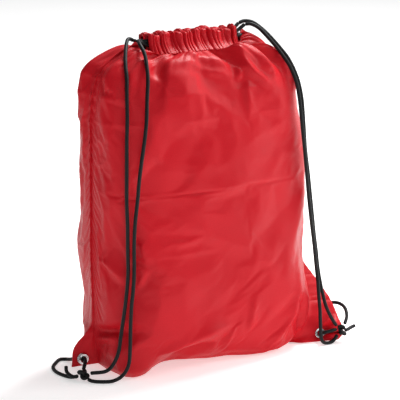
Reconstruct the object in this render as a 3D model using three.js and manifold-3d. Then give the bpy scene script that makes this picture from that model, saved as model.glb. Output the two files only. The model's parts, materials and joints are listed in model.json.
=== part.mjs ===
// Drawstring backpack, stuffed and standing on its base, with its two cord straps on the front.
// Millimetres, +Z up. The strap side faces -Y, the origin is on the floor under the middle of the bag.
import * as THREE from "three";
import { mergeVertices } from "three/addons/utils/BufferGeometryUtils.js";
import Module from "manifold-3d";

const wasm = await Module();
wasm.setup();

// ---- Driving dimensions ----

const CLOTH = 1.2; // panel thickness
const GAP = 0.25; // half the clearance between the two panels along a side seam
const BOTTOM_GAP = 1; // and along the bottom seam
const PANEL_TOP = 308.3; // where the panels meet the hem channel
const BASE_REACH = 52; // cloth that lies under the bag, from the bottom seam to the front or back edge
const SEAM_RIDGE = 1.5; // how far the side seams stand proud
const EAR_UPRIGHT = 12; // up to this height the ears stand upright, above it they turn into the side seams
const SHOULDER = [255, 300]; // heights between which the wall turns inwards to the mouth

// Level sections of the stuffed bag: height, half width left and right, half depth front and back,
// and squareness (2 is an ellipse, larger is squarer).
const SECTIONS = [
  [0, 104, 106, 50, 50, 4.6],
  [8, 112, 115, 55, 56, 4.2],
  [40, 117, 118, 60, 60, 3.6],
  [120, 119, 119, 61, 62, 3.2],
  [200, 118, 115, 59, 60, 3.1],
  [245, 117, 111, 55, 58, 3.0],
  [268, 114, 106, 50, 54, 2.9],
  [284, 108, 98, 43, 49, 2.8],
  [296, 97, 85, 34, 40, 2.6],
  [304, 80, 68, 23, 27, 2.4],
  [PANEL_TOP, 60, 50, 12.5, 12.5, 2.6],
];

// The bottom corners of the flat bag stand out as flat ears with an eyelet in each.
const LEFT_EAR = { reach: 33, height: 50, lift: 8, turn: 0.1, bend: 1.2 };
const RIGHT_EAR = { reach: 45.5, height: 95, lift: 1.5, turn: -0.38, bend: 1.3 };
const RIGHT_SEAM_FORWARD = 45; // the right side seam runs down and forward to its ear

const CHANNEL = { middle: -6, halfLength: 52, bottom: 309, height: 15, halfWidth: 3.5, wall: 1 };
const CHANNEL_MID_Y = 9; // half the distance between the two channels at the middle of the mouth
const CHANNEL_END_Y = 6; // and at the ends of the mouth
const CHANNEL_STEPS = 24;
const CHANNEL_SIDES = 12;

// Seam allowances inside the bag: width of the overlocked strip, and how far inside the seam it starts.
const ALLOWANCE = { width: 7, inside: 2.4, insideAtShoulder: 3 };
const SIDE_ALLOWANCE_Z = [26, 290];
const BOTTOM_ALLOWANCE_X = [-86, 70];
const BOTTOM_ALLOWANCE_Z = 2;

const CORD_RADIUS = 1.8;
const CORD_SIDES = 8;
const CORD_STEP = 9;
const LEFT_CORD_Z = 313; // the left cord lies under the right one in the channel
const RIGHT_CORD_Z = 319.6;
const CORD_EXIT = { out: 6, y: 5 }; // where a cord comes out of the channels on its own side
const CORD_TURN = { leave: 3, reach: 9 }; // its turn round the other end of the mouth
const KNOT_RADIUS = 5;

// Radii of the eyelet and of the hole in the cloth, thickness of its plates, and their clearance to the cloth.
const EYELET = { bore: 2.6, barrel: 3.5, flange: 5.4, plate: 0.8, hole: 4.1, clearance: 1.3, cut: 12, sides: 24 };
const ROLLED_END = 0.4; // how far the barrel is rolled out past the washer
const WASHER_PLAY = 0.3;
const LEFT_EYELET = { out: 16, z: 15 };
const RIGHT_EYELET = { out: 17, z: 8.5 };

const RING_COLUMNS = 26;
const FIN_COLUMNS = 3;
const BASE_ROWS = 7;
const WALL_ROWS = 16;

const clothLook = { color: 0xc21a2b, roughness: 0.6, metalness: 0 };
const threadLook = { color: 0xa8121f, roughness: 0.8, metalness: 0 };
const cordLook = { color: 0x16161a, roughness: 0.75, metalness: 0 };
const metalLook = { color: 0xd6d8da, roughness: 0.22, metalness: 1 };

// ---- The shape of the stuffed bag ----

const { lerp, smoothstep } = THREE.MathUtils;

function sectionAt(z) {
  let i = 1;
  while (i < SECTIONS.length - 1 && SECTIONS[i][0] < z) i++;
  const [low, high] = [SECTIONS[i - 1], SECTIONS[i]];
  const part = THREE.MathUtils.clamp((z - low[0]) / (high[0] - low[0]), 0, 1);
  const [, left, right, front, back, power] = low.map((value, k) => lerp(value, high[k], part));
  return { left, right, front, back, power };
}

// The point of a section in the direction of an angle, -90 degrees being the front.
function ringPoint(section, inset, angle) {
  const c = Math.cos(angle);
  const s = Math.sin(angle);
  const rho = (Math.abs(c) ** section.power + Math.abs(s) ** section.power) ** (-1 / section.power);
  const a = (c > 0 ? section.right : section.left) - inset;
  const b = (s > 0 ? section.back : section.front) - inset;
  return new THREE.Vector2(rho * c * a, rho * s * b);
}

// The angle at which a section's left (-1) or right (+1) side passes a given y.
function ringAngle(section, inset, y, hand) {
  const share = y / ((y > 0 ? section.back : section.front) - inset);
  const across = (1 - Math.abs(share) ** section.power) ** (1 / section.power);
  return Math.atan2(share, hand * across);
}

// A side seam at one height: where it leaves the section, and the ear that stands out from it.
function seamAt(z, hand) {
  const section = sectionAt(z);
  const ear = hand < 0 ? LEFT_EAR : RIGHT_EAR;
  const rise = smoothstep(z, EAR_UPRIGHT, ear.height);
  const y = hand < 0 ? 0 : -RIGHT_SEAM_FORWARD * (1 - rise);
  const root = ringPoint(section, 0, ringAngle(section, 0, y, hand));
  const along = new THREE.Vector2(hand, ear.turn * (1 - rise)).normalize();
  const reach = SEAM_RIDGE + ear.reach * Math.max(0, 1 - z / ear.height) ** ear.bend;
  const across = new THREE.Vector2(-along.y, along.x).multiplyScalar(hand);
  return { y, root, along, across, reach };
}

// The bottom seam runs straight under the bag and bends forward to the right ear.
function bottomSeamY(x) {
  return -RIGHT_SEAM_FORWARD * smoothstep(x, 40, SECTIONS[0][2]);
}

// A point of a panel: side is -1 for the front and +1 for the back, column runs from the left seam (0)
// to the right seam (1), and run is the distance up the cloth from the bottom seam.
function panelPoint(side, column, run, inner) {
  const climb = Math.max(0, run - BASE_REACH);
  const depth = Math.min(1, run / BASE_REACH);
  const lift = column < 0.5 ? LEFT_EAR.lift : RIGHT_EAR.lift;
  const seamZ = lerp(lift, PANEL_TOP, run / (BASE_REACH + PANEL_TOP));
  const edge = Math.abs(2 * column - 1) ** 8;
  const z = lerp(climb, seamZ, edge);
  const wall = smoothstep(z, 0, 8);
  const inset = inner ? CLOTH * wall : 0;
  const layer = GAP + (inner ? 0 : CLOTH);
  const section = sectionAt(z);
  const rightY = seamAt(z, 1).y;
  const first = ringAngle(section, inset, side * layer, -1);
  const last = ringAngle(section, inset, rightY + side * layer, 1);
  const point = ringPoint(section, inset, lerp(first, last, column));
  const seamY = bottomSeamY(point.x);
  const apart = side * lerp(BOTTOM_GAP, layer, edge) * (1 - depth);
  const y = seamY + apart + (point.y - seamY) * depth;
  const shoulder = smoothstep(z, ...SHOULDER);
  const dz = inner ? CLOTH * ((1 - wall) * (1 - edge) - shoulder) : 0;
  return new THREE.Vector3(point.x, y, z + dz);
}

// A point of a panel in the flat ear beyond a side seam's root, out being the share of its reach.
function finPoint(side, hand, out, run, inner) {
  const lift = hand < 0 ? LEFT_EAR.lift : RIGHT_EAR.lift;
  const z = lerp(lift, PANEL_TOP, run / (BASE_REACH + PANEL_TOP));
  const seam = seamAt(z, hand);
  const layer = side * (GAP + (inner ? 0 : CLOTH));
  const p = seam.root.clone().addScaledVector(seam.along, seam.reach * out);
  p.addScaledVector(seam.across, layer);
  const dz = inner ? -CLOTH * smoothstep(z, ...SHOULDER) : 0;
  return new THREE.Vector3(p.x, p.y, z + dz);
}

// ---- Solids ----

// A closed solid between two grids of points with the same rows and columns. A grid that closes on
// itself around its columns makes a hollow tube.
function thickSheet(outer, inner, { around = false, flip = false } = {}) {
  const rows = outer.length;
  const columns = outer[0].length;
  const points = [...outer.flat(), ...inner.flat()];
  const index = [];
  const at = (layer, r, c) => layer * rows * columns + r * columns + (c % columns);
  const quad = (a, b, c, d) => {
    if (flip) index.push(a, c, b, a, d, c);
    else index.push(a, b, c, a, c, d);
  };
  const lastColumn = around ? columns : columns - 1;
  for (let r = 0; r < rows - 1; r++) {
    for (let c = 0; c < lastColumn; c++) {
      quad(at(0, r, c), at(0, r, c + 1), at(0, r + 1, c + 1), at(0, r + 1, c));
      quad(at(1, r, c), at(1, r + 1, c), at(1, r + 1, c + 1), at(1, r, c + 1));
    }
    if (around) continue;
    quad(at(0, r, 0), at(0, r + 1, 0), at(1, r + 1, 0), at(1, r, 0));
    quad(at(0, r, lastColumn), at(1, r, lastColumn), at(1, r + 1, lastColumn), at(0, r + 1, lastColumn));
  }
  for (let c = 0; c < lastColumn; c++) {
    quad(at(0, 0, c), at(1, 0, c), at(1, 0, c + 1), at(0, 0, c + 1));
    quad(at(0, rows - 1, c), at(0, rows - 1, c + 1), at(1, rows - 1, c + 1), at(1, rows - 1, c));
  }
  const geometry = new THREE.BufferGeometry().setFromPoints(points);
  geometry.setIndex(index);
  return geometry;
}

function toSolid(geometry) {
  const bare = geometry.clone().deleteAttribute("normal").deleteAttribute("uv");
  const merged = mergeVertices(bare, 1e-4);
  const triVerts = new Uint32Array(merged.index.array);
  return new wasm.Manifold(
    new wasm.Mesh({ numProp: 3, vertProperties: merged.attributes.position.array, triVerts }),
  );
}

function fromSolid(solid) {
  const made = solid.getMesh();
  const geometry = new THREE.BufferGeometry();
  geometry.setAttribute("position", new THREE.BufferAttribute(made.vertProperties, 3));
  geometry.setIndex(new THREE.BufferAttribute(made.triVerts, 1));
  return geometry;
}

function namedMesh(name, geometry, look) {
  geometry.computeVertexNormals();
  const mesh = new THREE.Mesh(geometry, new THREE.MeshStandardMaterial(look));
  mesh.name = name;
  return mesh;
}

// ---- Panels ----

function rowRuns() {
  const runs = [];
  for (let r = 0; r < BASE_ROWS; r++) runs.push((BASE_REACH * r) / BASE_ROWS);
  for (let r = 0; r <= WALL_ROWS; r++) {
    const share = r / WALL_ROWS;
    runs.push(BASE_REACH + PANEL_TOP * share ** 0.85);
  }
  return runs;
}

function panelGrid(side, inner) {
  return rowRuns().map((run) => {
    const row = [];
    for (let k = FIN_COLUMNS; k > 0; k--) row.push(finPoint(side, -1, k / FIN_COLUMNS, run, inner));
    for (let c = 0; c <= RING_COLUMNS; c++) row.push(panelPoint(side, c / RING_COLUMNS, run, inner));
    for (let k = 1; k <= FIN_COLUMNS; k++) row.push(finPoint(side, 1, k / FIN_COLUMNS, run, inner));
    return row;
  });
}

// Where an eyelet sits on an ear, and the direction that its flange faces.
function eyeletPlace(hand) {
  const { out, z } = hand < 0 ? LEFT_EYELET : RIGHT_EYELET;
  const [low, centre, high] = [z - EYELET.flange, z, z + EYELET.flange].map((height) => {
    const seam = seamAt(height, hand);
    const p = seam.root.clone().addScaledVector(seam.along, out);
    return new THREE.Vector3(p.x, p.y, height);
  });
  const { along } = seamAt(z, hand);
  const facing = new THREE.Vector3(along.x, along.y, 0).cross(high.sub(low)).multiplyScalar(hand);
  return { centre, facing: facing.normalize() };
}

function placeAlong(geometry, { centre, facing }) {
  const turn = new THREE.Quaternion().setFromUnitVectors(new THREE.Vector3(0, 1, 0), facing);
  return geometry.applyQuaternion(turn).translate(centre.x, centre.y, centre.z);
}

function panel(name, side) {
  const sheet = thickSheet(panelGrid(side, false), panelGrid(side, true), { flip: side > 0 });
  let solid = toSolid(sheet);
  for (const hand of [-1, 1]) {
    const hole = new THREE.CylinderGeometry(EYELET.hole, EYELET.hole, EYELET.cut, EYELET.sides);
    solid = solid.subtract(toSolid(placeAlong(hole, eyeletPlace(hand))));
  }
  return namedMesh(name, fromSolid(solid), clothLook);
}

// ---- Hem channel around the mouth, in a front and a back half ----

function channelPath(share) {
  const t = 2 * share - 1;
  const x = CHANNEL.middle + CHANNEL.halfLength * t;
  return new THREE.Vector2(x, lerp(CHANNEL_MID_Y, CHANNEL_END_Y, t ** 4));
}

function channelGrid(side, inset) {
  const rows = [];
  for (let i = 0; i <= CHANNEL_STEPS; i++) {
    const p = channelPath(i / CHANNEL_STEPS);
    const ahead = channelPath(Math.min(1, (i + 0.5) / CHANNEL_STEPS));
    const behind = channelPath(Math.max(0, (i - 0.5) / CHANNEL_STEPS));
    const tangent = ahead.sub(behind).normalize();
    const row = [];
    for (let k = 0; k < CHANNEL_SIDES; k++) {
      const angle = (2 * Math.PI * (k + 0.5)) / CHANNEL_SIDES;
      const rho = (Math.abs(Math.cos(angle)) ** 4 + Math.abs(Math.sin(angle)) ** 4) ** -0.25;
      const outward = rho * Math.cos(angle) * (CHANNEL.halfWidth - inset);
      const up = rho * Math.sin(angle) * (CHANNEL.height / 2 - inset);
      const x = p.x - tangent.y * outward;
      const y = side * (p.y + tangent.x * outward);
      row.push(new THREE.Vector3(x, y, CHANNEL.bottom + CHANNEL.height / 2 + up));
    }
    rows.push(row);
  }
  return rows;
}

function channel(name, side) {
  const tube = thickSheet(channelGrid(side, 0), channelGrid(side, CHANNEL.wall), {
    around: true,
    flip: side < 0,
  });
  return namedMesh(name, tube, clothLook);
}

// ---- Seam allowances, turned to the inside and overlocked ----

function seamStrip(name, pointAt, steps) {
  const layers = [1, 0].map((layer) => {
    const rows = [];
    for (let i = 0; i <= steps; i++) rows.push([0, 1].map((across) => pointAt(i / steps, across, layer)));
    return rows;
  });
  return namedMesh(name, thickSheet(layers[0], layers[1]), threadLook);
}

function sideSeam(name, hand) {
  return seamStrip(
    name,
    (share, across, layer) => {
      const z = lerp(...SIDE_ALLOWANCE_Z, share);
      const seam = seamAt(z, hand);
      const start = ALLOWANCE.inside + ALLOWANCE.insideAtShoulder * smoothstep(z, ...SHOULDER);
      const p = seam.root.clone().addScaledVector(seam.along, -start - ALLOWANCE.width * across);
      p.addScaledVector(seam.across, (layer - 0.5) * hand);
      return new THREE.Vector3(p.x, p.y, z);
    },
    24,
  );
}

function bottomSeam() {
  return seamStrip(
    "bottom_seam",
    (share, across, layer) => {
      const x = lerp(...BOTTOM_ALLOWANCE_X, share);
      const z = BOTTOM_ALLOWANCE_Z + ALLOWANCE.width * across;
      return new THREE.Vector3(x, bottomSeamY(x) + layer - 0.5, z);
    },
    20,
  );
}

// ---- Eyelets ----

function latheRing(profile) {
  const outline = [...profile, profile[0]].map(([r, y]) => new THREE.Vector2(r, y));
  return new THREE.LatheGeometry(outline, EYELET.sides);
}

function eyelet(name, hand) {
  const skin = GAP + CLOTH + EYELET.clearance;
  const back = -(skin + EYELET.plate + ROLLED_END);
  const front = skin + EYELET.plate;
  const geometry = latheRing([
    [EYELET.bore, back],
    [EYELET.barrel, back],
    [EYELET.barrel, skin],
    [EYELET.flange, skin],
    [EYELET.flange, front - EYELET.plate / 2],
    [EYELET.flange - EYELET.plate, front],
    [EYELET.bore, front],
  ]);
  return namedMesh(name, placeAlong(geometry, eyeletPlace(hand)), metalLook);
}

function eyeletWasher(name, hand) {
  const skin = GAP + CLOTH + EYELET.clearance;
  const inside = EYELET.barrel + WASHER_PLAY;
  const geometry = latheRing([
    [inside, -(skin + EYELET.plate)],
    [EYELET.flange, -(skin + EYELET.plate)],
    [EYELET.flange, -skin],
    [inside, -skin],
  ]);
  return namedMesh(name, placeAlong(geometry, eyeletPlace(hand)), metalLook);
}

// ---- Cords ----

const LEFT_KNOT = [-140, -17, 7];
const RIGHT_KNOT = [133, -65, 12];

const LEFT_OUTER_RUN = [
  [-67, 5, 314], [-72, 4, 316], [-77, 0, 315], [-82, -6, 311], [-88, -14, 304], [-93, -22, 296],
  [-97, -30, 286], [-101, -36, 272], [-104, -41, 252], [-106, -43, 231], [-107, -44, 204],
  [-108, -45, 177], [-108, -46, 152], [-108, -46, 128], [-108, -46, 105], [-110, -45, 81],
  [-112, -43, 61], [-114, -42, 46], [-116, -41, 31], [-120, -38, 19], [-126, -34, 12], [-134, -23, 8.6],
];
const LEFT_INNER_RUN = [
  [-67, -4, 314], [-70, -9, 314.5], [-72, -15, 312], [-73, -23, 306], [-76, -31, 297],
  [-80, -39, 284], [-85, -45, 267], [-89, -50, 249], [-92, -51, 231], [-95, -51, 214],
  [-98, -51, 195], [-100, -51, 177], [-103, -51, 154], [-104, -50.5, 133], [-104, -50.5, 114],
  [-105, -50.5, 95], [-107, -50, 76], [-108, -49.5, 56], [-109, -50, 36], [-110, -49, 20],
  [-114, -45, 9], [-120, -39, 3], [-128, -34, 2], [-136, -27, 2.2], [-139, -22.6, 3.6],
];
const RIGHT_FRONT_RUN = [
  [55, -5, 320], [60, -8, 320], [66, -13, 316], [71, -20, 308], [76, -27, 299], [80, -35, 289],
  [83, -41, 280], [85, -48, 266], [86, -52, 249], [87, -56, 221], [90, -56, 200], [93, -56, 175],
  [97, -55, 149], [100, -55, 129], [106, -53, 101], [109, -53, 79], [109, -56, 64], [109, -58, 49],
  [109, -60, 36], [109, -61, 22], [109, -62, 10], [111, -63, 3.8], [116, -64, 2], [122, -65, 3],
  [127.6, -65.4, 8.6],
];
const RIGHT_BACK_RUN = [
  [55, 5, 320], [61, 4, 321.5], [68, 0, 320], [74, -7, 314], [79, -15, 306], [84, -24, 296],
  [88, -32, 286], [91, -41, 270], [92, -47.5, 251], [92, -51.5, 225], [94, -52, 200], [98, -52, 175],
  [103, -50, 150], [108, -47, 130], [113, -44, 110], [115, -45, 93], [115, -48, 77], [116, -51, 62],
  [117, -54, 50], [119, -57, 38], [123, -60, 27], [128.4, -62.6, 17],
];
const LEFT_TAIL_LOOP = [
  [-137.3, -12.4, 9.8], [-133, -8, 13], [-129.4, -3, 15], [-129, 2, 15], [-128.8, 7, 14.6],
  [-128, 14, 12], [-126, 24, 8], [-124, 35, 4], [-124, 43, 2], [-129, 45, 2], [-138, 38, 2], [-146, 29, 2],
  [-150, 18, 2], [-150, 6, 2], [-147, -5, 2.2], [-143, -12.2, 4.4],
];
const RIGHT_TAIL_LOOP = [
  [127.8, -63.4, 14], [123.4, -63, 13.4], [118.6, -61.4, 12.6], [115.4, -58.4, 11.2], [115.1, -54.6, 9.7],
  [116.5, -51, 8.5], [117.7, -47.8, 7.4], [119.6, -43.4, 7.6], [123.4, -38, 11], [128.6, -33.6, 18],
  [135, -31.6, 26], [142, -33.4, 31], [148, -40, 32], [149.4, -49, 29.4], [145.6, -57.6, 23.6],
  [138.4, -63.2, 17.4],
];
const RIGHT_TAIL_END = [[138.4, -64, 11], [143, -63, 11], [148, -62, 12], [153, -62, 13]];
const LEFT_TAIL_END = [[-145, -15, 5], [-149, -11, 5], [-151, -5, 8], [-149, 0, 12]];

function cord(name, route) {
  const curve = new THREE.CatmullRomCurve3(route.map((p) => new THREE.Vector3(...p)));
  const section = new THREE.Shape();
  for (let k = 0; k < CORD_SIDES; k++) {
    const angle = (2 * Math.PI * k) / CORD_SIDES;
    const [x, y] = [CORD_RADIUS * Math.cos(angle), CORD_RADIUS * Math.sin(angle)];
    if (k) section.lineTo(x, y);
    else section.moveTo(x, y);
  }
  section.closePath();
  const steps = Math.max(4, Math.round(curve.getLength() / CORD_STEP));
  const geometry = new THREE.ExtrudeGeometry(section, { steps, extrudePath: curve, bevelEnabled: false });
  return namedMesh(name, geometry, cordLook);
}

// A cord runs through one channel, turns round the far end of the mouth and comes back in the other.
function channelRoute(hand, z) {
  const shares = [0.04, 0.14, 0.26, 0.38, 0.5, 0.62, 0.74, 0.86, 0.95];
  const ordered = hand < 0 ? shares : shares.toReversed();
  const inside = ordered.map((share) => channelPath(share));
  const exit = CHANNEL.middle + hand * (CHANNEL.halfLength + CORD_EXIT.out);
  const leave = CHANNEL.middle - hand * (CHANNEL.halfLength + CORD_TURN.leave);
  const far = CHANNEL.middle - hand * (CHANNEL.halfLength + CORD_TURN.reach);
  return [
    [exit, -CORD_EXIT.y, z],
    ...inside.map((p) => [p.x, -p.y, z]),
    [leave, -CHANNEL_END_Y, z],
    [far, 0, z],
    [leave, CHANNEL_END_Y, z],
    ...inside.toReversed().map((p) => [p.x, p.y, z]),
    [exit, CORD_EXIT.y, z],
  ];
}

function knot(name, place) {
  const geometry = new THREE.SphereGeometry(KNOT_RADIUS, 16, 10).translate(...place);
  return namedMesh(name, geometry, cordLook);
}

// ---- Assembly ----

const bag = new THREE.Group();
bag.add(
  panel("front_panel", -1),
  panel("back_panel", 1),
  channel("front_channel", -1),
  channel("back_channel", 1),
  sideSeam("left_side_seam", -1),
  sideSeam("right_side_seam", 1),
  bottomSeam(),
);

const eyelets = new THREE.Group();
for (const [side, hand] of [["left", -1], ["right", 1]]) {
  eyelets.add(eyelet(`${side}_eyelet`, hand), eyeletWasher(`${side}_eyelet_washer`, hand));
}

const leftDrawcord = new THREE.Group();
leftDrawcord.add(
  cord("left_drawcord_in_channel", channelRoute(-1, LEFT_CORD_Z)),
  cord("left_strap_outer_run", LEFT_OUTER_RUN),
  cord("left_strap_inner_run", LEFT_INNER_RUN),
  knot("left_knot", LEFT_KNOT),
  cord("left_tail_loop", LEFT_TAIL_LOOP),
  cord("left_tail_end", LEFT_TAIL_END),
);

const rightDrawcord = new THREE.Group();
rightDrawcord.add(
  cord("right_drawcord_in_channel", channelRoute(1, RIGHT_CORD_Z)),
  cord("right_strap_front_run", RIGHT_FRONT_RUN),
  cord("right_strap_back_run", RIGHT_BACK_RUN),
  knot("right_knot", RIGHT_KNOT),
  cord("right_tail_loop", RIGHT_TAIL_LOOP),
  cord("right_tail_end", RIGHT_TAIL_END),
);

const backpack = new THREE.Group();
backpack.add(bag, eyelets, leftDrawcord, rightDrawcord);
export default backpack;
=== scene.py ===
"""Looks of the drawstring backpack: gathered cloth bag, braided cord straps, nickel eyelets.

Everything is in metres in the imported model's frame: +Z up, strap side facing -Y, floor at z = 0.
"""

import json
import math

import bpy
import numpy as np
from mathutils import Vector
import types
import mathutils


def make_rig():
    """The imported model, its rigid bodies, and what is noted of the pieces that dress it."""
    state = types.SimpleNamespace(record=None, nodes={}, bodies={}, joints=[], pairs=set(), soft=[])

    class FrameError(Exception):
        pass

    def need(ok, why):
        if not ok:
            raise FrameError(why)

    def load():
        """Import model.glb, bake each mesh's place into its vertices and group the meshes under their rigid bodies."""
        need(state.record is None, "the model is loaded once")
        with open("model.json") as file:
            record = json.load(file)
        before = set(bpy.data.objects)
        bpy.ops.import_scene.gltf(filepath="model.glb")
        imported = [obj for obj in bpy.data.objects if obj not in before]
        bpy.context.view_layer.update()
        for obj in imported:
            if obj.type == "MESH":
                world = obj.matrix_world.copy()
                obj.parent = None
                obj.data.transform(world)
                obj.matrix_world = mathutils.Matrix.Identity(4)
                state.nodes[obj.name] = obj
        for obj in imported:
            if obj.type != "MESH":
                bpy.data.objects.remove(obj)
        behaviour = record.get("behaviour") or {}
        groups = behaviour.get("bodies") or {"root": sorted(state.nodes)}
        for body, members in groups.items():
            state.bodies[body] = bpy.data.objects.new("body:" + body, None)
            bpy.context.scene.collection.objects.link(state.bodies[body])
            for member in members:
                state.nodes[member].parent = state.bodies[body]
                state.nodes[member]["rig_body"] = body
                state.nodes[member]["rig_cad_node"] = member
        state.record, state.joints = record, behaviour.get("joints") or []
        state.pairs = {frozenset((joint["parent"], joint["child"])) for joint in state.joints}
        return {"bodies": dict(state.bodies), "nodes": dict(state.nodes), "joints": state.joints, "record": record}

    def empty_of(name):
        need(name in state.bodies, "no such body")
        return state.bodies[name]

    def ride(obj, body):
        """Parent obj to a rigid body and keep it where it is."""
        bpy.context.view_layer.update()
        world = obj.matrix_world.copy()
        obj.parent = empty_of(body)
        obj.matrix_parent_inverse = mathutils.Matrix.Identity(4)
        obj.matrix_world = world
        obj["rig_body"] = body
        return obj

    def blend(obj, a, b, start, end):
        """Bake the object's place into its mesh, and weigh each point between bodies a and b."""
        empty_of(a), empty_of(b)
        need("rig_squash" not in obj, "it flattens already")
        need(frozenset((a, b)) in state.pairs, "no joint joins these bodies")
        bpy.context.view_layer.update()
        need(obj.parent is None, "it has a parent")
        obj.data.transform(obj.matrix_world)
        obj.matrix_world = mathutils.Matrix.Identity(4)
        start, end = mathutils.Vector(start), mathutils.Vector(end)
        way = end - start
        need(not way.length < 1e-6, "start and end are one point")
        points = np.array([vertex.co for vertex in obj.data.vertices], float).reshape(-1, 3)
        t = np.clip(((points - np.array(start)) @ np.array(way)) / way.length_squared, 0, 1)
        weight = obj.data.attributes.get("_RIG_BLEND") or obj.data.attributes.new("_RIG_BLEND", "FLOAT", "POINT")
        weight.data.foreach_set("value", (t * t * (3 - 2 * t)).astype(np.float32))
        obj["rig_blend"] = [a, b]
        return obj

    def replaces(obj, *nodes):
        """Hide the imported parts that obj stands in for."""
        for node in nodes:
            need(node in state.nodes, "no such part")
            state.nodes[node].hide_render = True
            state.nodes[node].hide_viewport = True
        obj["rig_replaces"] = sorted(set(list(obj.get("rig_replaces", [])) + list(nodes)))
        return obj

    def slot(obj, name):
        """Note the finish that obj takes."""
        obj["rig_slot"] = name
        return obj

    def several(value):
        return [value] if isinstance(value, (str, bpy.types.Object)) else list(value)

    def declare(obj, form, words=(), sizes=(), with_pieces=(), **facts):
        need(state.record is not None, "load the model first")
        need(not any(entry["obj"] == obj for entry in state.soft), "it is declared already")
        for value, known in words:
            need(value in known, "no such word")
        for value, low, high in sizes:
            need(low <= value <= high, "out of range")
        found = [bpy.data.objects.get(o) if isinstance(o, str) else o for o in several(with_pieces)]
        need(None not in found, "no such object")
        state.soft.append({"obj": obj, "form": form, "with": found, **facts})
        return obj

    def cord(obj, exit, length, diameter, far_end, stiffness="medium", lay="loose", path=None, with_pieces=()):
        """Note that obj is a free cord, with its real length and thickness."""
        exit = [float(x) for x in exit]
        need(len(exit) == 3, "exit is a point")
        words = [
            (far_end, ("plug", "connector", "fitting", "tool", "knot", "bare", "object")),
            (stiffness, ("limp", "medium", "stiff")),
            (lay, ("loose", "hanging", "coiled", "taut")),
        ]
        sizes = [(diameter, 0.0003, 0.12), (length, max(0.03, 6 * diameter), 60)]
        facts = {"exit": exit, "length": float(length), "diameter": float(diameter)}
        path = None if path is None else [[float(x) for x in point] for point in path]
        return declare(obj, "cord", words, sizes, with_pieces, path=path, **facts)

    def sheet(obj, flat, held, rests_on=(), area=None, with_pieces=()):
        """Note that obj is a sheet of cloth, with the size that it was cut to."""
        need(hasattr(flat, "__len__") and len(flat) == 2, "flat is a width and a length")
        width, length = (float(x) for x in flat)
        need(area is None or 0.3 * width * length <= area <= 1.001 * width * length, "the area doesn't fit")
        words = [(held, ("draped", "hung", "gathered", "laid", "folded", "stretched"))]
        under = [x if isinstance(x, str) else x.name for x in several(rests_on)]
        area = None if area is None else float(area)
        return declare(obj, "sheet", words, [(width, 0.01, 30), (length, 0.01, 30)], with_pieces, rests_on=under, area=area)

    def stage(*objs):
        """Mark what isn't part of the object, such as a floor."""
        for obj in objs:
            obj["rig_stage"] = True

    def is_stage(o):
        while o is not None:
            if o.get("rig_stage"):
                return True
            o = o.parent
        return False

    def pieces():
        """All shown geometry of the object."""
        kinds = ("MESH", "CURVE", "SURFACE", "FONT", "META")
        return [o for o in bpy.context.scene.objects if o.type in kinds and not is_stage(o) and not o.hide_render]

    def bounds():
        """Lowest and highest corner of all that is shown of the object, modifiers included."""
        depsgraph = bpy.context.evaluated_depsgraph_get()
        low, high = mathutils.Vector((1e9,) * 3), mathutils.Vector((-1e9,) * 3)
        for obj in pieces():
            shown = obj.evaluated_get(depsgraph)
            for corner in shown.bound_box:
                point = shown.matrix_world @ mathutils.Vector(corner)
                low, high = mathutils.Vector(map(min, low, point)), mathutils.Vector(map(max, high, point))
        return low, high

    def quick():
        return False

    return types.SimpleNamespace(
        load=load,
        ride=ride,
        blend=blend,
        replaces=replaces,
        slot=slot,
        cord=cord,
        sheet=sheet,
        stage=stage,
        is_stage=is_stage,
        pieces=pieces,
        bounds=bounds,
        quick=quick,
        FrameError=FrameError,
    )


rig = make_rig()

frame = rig.load()
cad_low, cad_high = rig.bounds()

MM = 0.001
LEFT, RIGHT = -1, 1
FRONT, BACK = -1, 1
INWARDS, BOTH_WAYS = -1, 0  # which way a surface is thickened
SEED = 11


# ---- Driving dimensions ----

CAMERA_AZIMUTH = -35
CAMERA_ELEVATION = 14
CAMERA_DISTANCE = 1.8
CAMERA_AIM = (0.002, 0, 0.152)
CAMERA_LENS = 166.9
CAMERA_SHIFT = 0.0075

# Level sections of the stuffed bag: height, half width left and right, half depth front and back
# in mm, and squareness (2 is an ellipse, larger is squarer).
SECTIONS = [
    [0, 104, 106, 50, 50, 4.6],
    [8, 112, 115, 55, 56, 4.2],
    [40, 117, 118, 60, 60, 3.6],
    [120, 119, 119, 61, 62, 3.2],
    [200, 118, 115, 59, 60, 3.1],
    [245, 117, 111, 55, 58, 3.0],
    [268, 114, 106, 50, 54, 2.9],
    [284, 108, 98, 43, 49, 2.8],
    [296, 97, 85, 34, 40, 2.6],
    [304, 80, 68, 23, 27, 2.4],
    [308.3, 60, 50, 12.5, 12.5, 2.6],
]
PANEL_TOP = 308.3 * MM
BASE_REACH = 52 * MM  # cloth that lies under the bag
SEAM_RIDGE = 1.5 * MM
EAR_UPRIGHT = 12 * MM
RIGHT_SEAM_FORWARD = 45 * MM
EARS = {
    LEFT: {"reach": 33 * MM, "height": 50 * MM, "lift": 8 * MM, "turn": 0.1, "bend": 1.2},
    RIGHT: {"reach": 45.5 * MM, "height": 95 * MM, "lift": 1.5 * MM, "turn": -0.38, "bend": 1.3},
}
SEAM_LAYER = 0.7 * MM  # from the middle of a side seam to the cloth's outer face
CLOTH_THICKNESS = 0.3 * MM
PANEL_FLAT = (0.34, 0.40)  # width and length of a panel as it was cut, less the turned hem
EAR_CLOTH = 0.03  # mean width of the cloth in an ear
WEAVE_PITCH = 0.9 * MM

FIN_COLUMNS = 9
RING_COLUMNS = 150
BASE_ROWS = 20
WALL_ROWS = 132

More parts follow.
